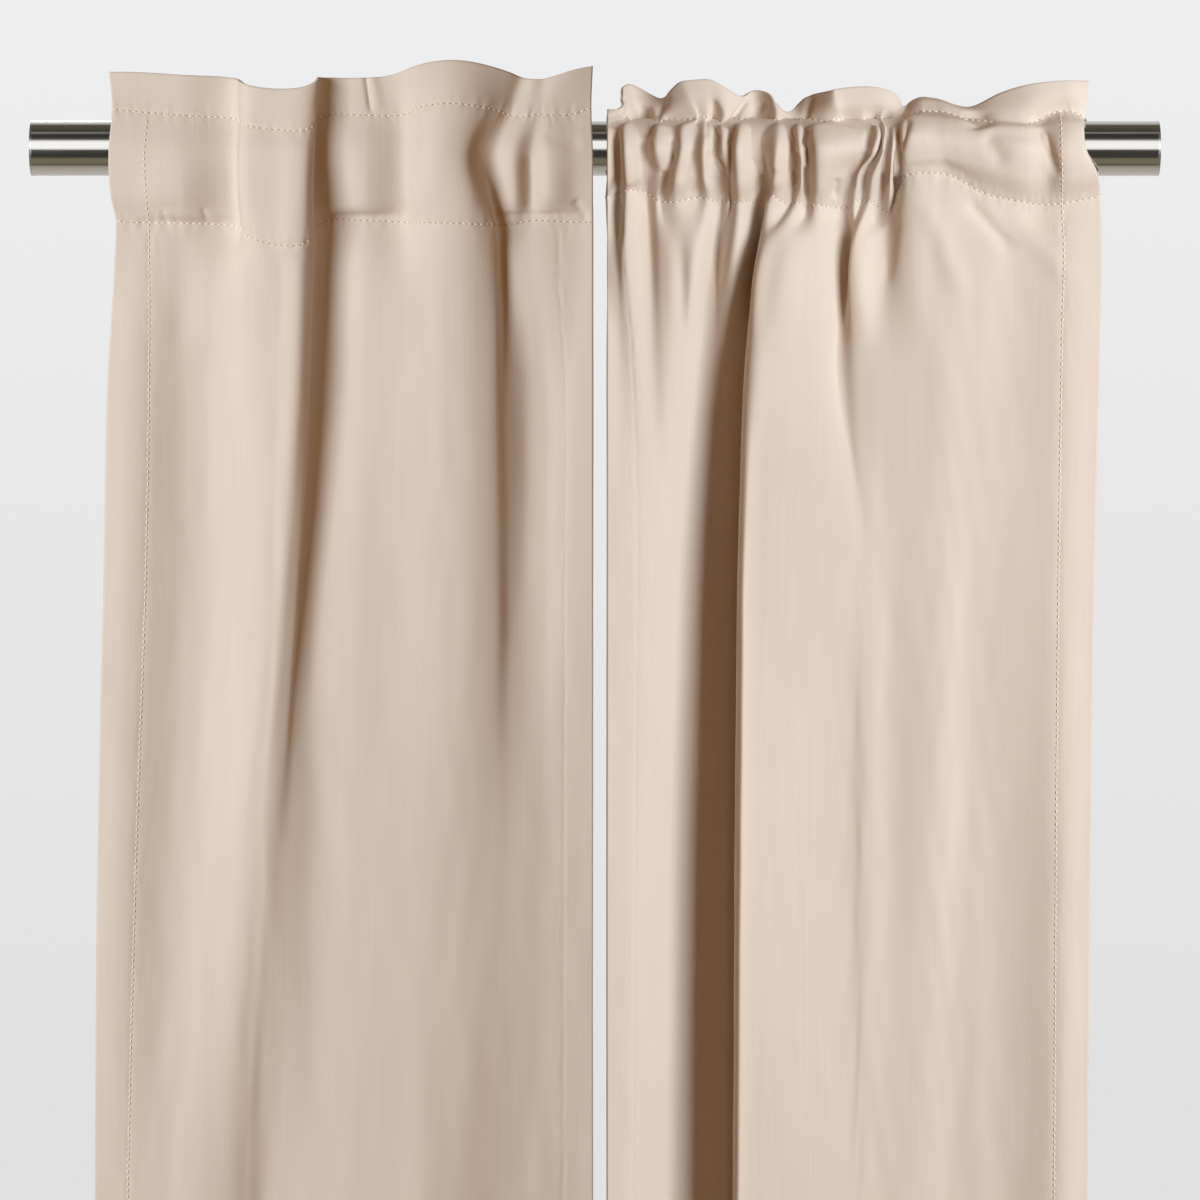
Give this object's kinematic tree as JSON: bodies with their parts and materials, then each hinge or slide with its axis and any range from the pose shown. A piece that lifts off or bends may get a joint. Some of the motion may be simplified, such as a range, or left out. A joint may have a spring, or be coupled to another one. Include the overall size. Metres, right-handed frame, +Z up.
{
  "type": "pair of window curtains on a rod",
  "caption": "Pair of beige blackout curtain panels on a steel wall rod, one hung flat by hidden back tabs and one gathered on its rod pocket.",
  "frame": {"origin": "centre of the four wall screw holes, on the wall plane and level with the rod's axis", "axes": "+Z up, +X to the right as seen from the room, +Y into the wall, so the room side faces -Y"},
  "size_m": [0.784, 0.1391, 1.6025],
  "materials": {
    "rod_steel": "polished tube with fine lengthwise grain",
    "cap_steel": "satin turned face",
    "post_steel": "satin turned",
    "plate_zinc": "zinc plated, matt",
    "fastener_steel": "dark plated screw steel",
    "nut_zinc": "yellow zinc plating",
    "curtain_cloth": "smooth satin-faced blackout weave, soft sheen",
    "sewing_thread": "twisted polyester thread"
  },
  "bodies": {
    "rod_and_brackets": {"rod_tube": "rod_steel", "left_end_cap": "cap_steel", "right_end_cap": "cap_steel", "left_wall_plate": "plate_zinc", "right_wall_plate": "plate_zinc", "left_post": "post_steel", "right_post": "post_steel", "left_post_screw": "fastener_steel", "right_post_screw": "fastener_steel", "left_rivet_nut": "nut_zinc", "right_rivet_nut": "nut_zinc", "left_grub_screw": "fastener_steel", "right_grub_screw": "fastener_steel", "left_panel_cloth": "curtain_cloth", "left_top_facing": "curtain_cloth", "left_outer_side_hem": "curtain_cloth", "left_bottom_hem": "curtain_cloth", "left_seam_thread": "sewing_thread", "right_panel_cloth": "curtain_cloth", "right_pocket_front": "curtain_cloth", "right_pocket_back": "curtain_cloth", "right_ruffled_heading": "curtain_cloth", "right_outer_side_hem": "curtain_cloth", "right_bottom_hem": "curtain_cloth", "right_seam_thread": "sewing_thread"},
    "left_leading_edge": {"left_inner_side_hem": "curtain_cloth"},
    "left_inner_tab_loop": {"left_inner_tab": "curtain_cloth"},
    "left_middle_tab_loop": {"left_middle_tab": "curtain_cloth"},
    "left_outer_tab_loop": {"left_outer_tab": "curtain_cloth"},
    "right_leading_edge": {"right_inner_side_hem": "curtain_cloth"}
  },
  "joints": [
    {"name": "left_leading_edge_slide", "type": "slide", "parent": "rod_and_brackets", "child": "left_leading_edge", "axis": [-1, 0, 0], "range_m": [0, 0.15], "deforming": ["left_panel_cloth", "left_top_facing", "left_bottom_hem", "left_seam_thread"]},
    {"name": "left_inner_tab_slide", "type": "slide", "parent": "rod_and_brackets", "child": "left_inner_tab_loop", "axis": [-1, 0, 0], "range_m": [0, 0.1353]},
    {"name": "left_middle_tab_slide", "type": "slide", "parent": "rod_and_brackets", "child": "left_middle_tab_loop", "axis": [-1, 0, 0], "range_m": [0, 0.0793]},
    {"name": "left_outer_tab_slide", "type": "slide", "parent": "rod_and_brackets", "child": "left_outer_tab_loop", "axis": [-1, 0, 0], "range_m": [0, 0.0233]},
    {"name": "right_leading_edge_slide", "type": "slide", "parent": "rod_and_brackets", "child": "right_leading_edge", "axis": [1, 0, 0], "range_m": [0, 0.15], "deforming": ["right_panel_cloth", "right_pocket_front", "right_pocket_back", "right_ruffled_heading", "right_bottom_hem", "right_seam_thread"]}
  ],
  "couplings": [
    {"joint": "left_inner_tab_slide", "follows": "left_leading_edge_slide", "ratio": 0.8985},
    {"joint": "left_middle_tab_slide", "follows": "left_leading_edge_slide", "ratio": 0.5254},
    {"joint": "left_outer_tab_slide", "follows": "left_leading_edge_slide", "ratio": 0.1522}
  ]
}
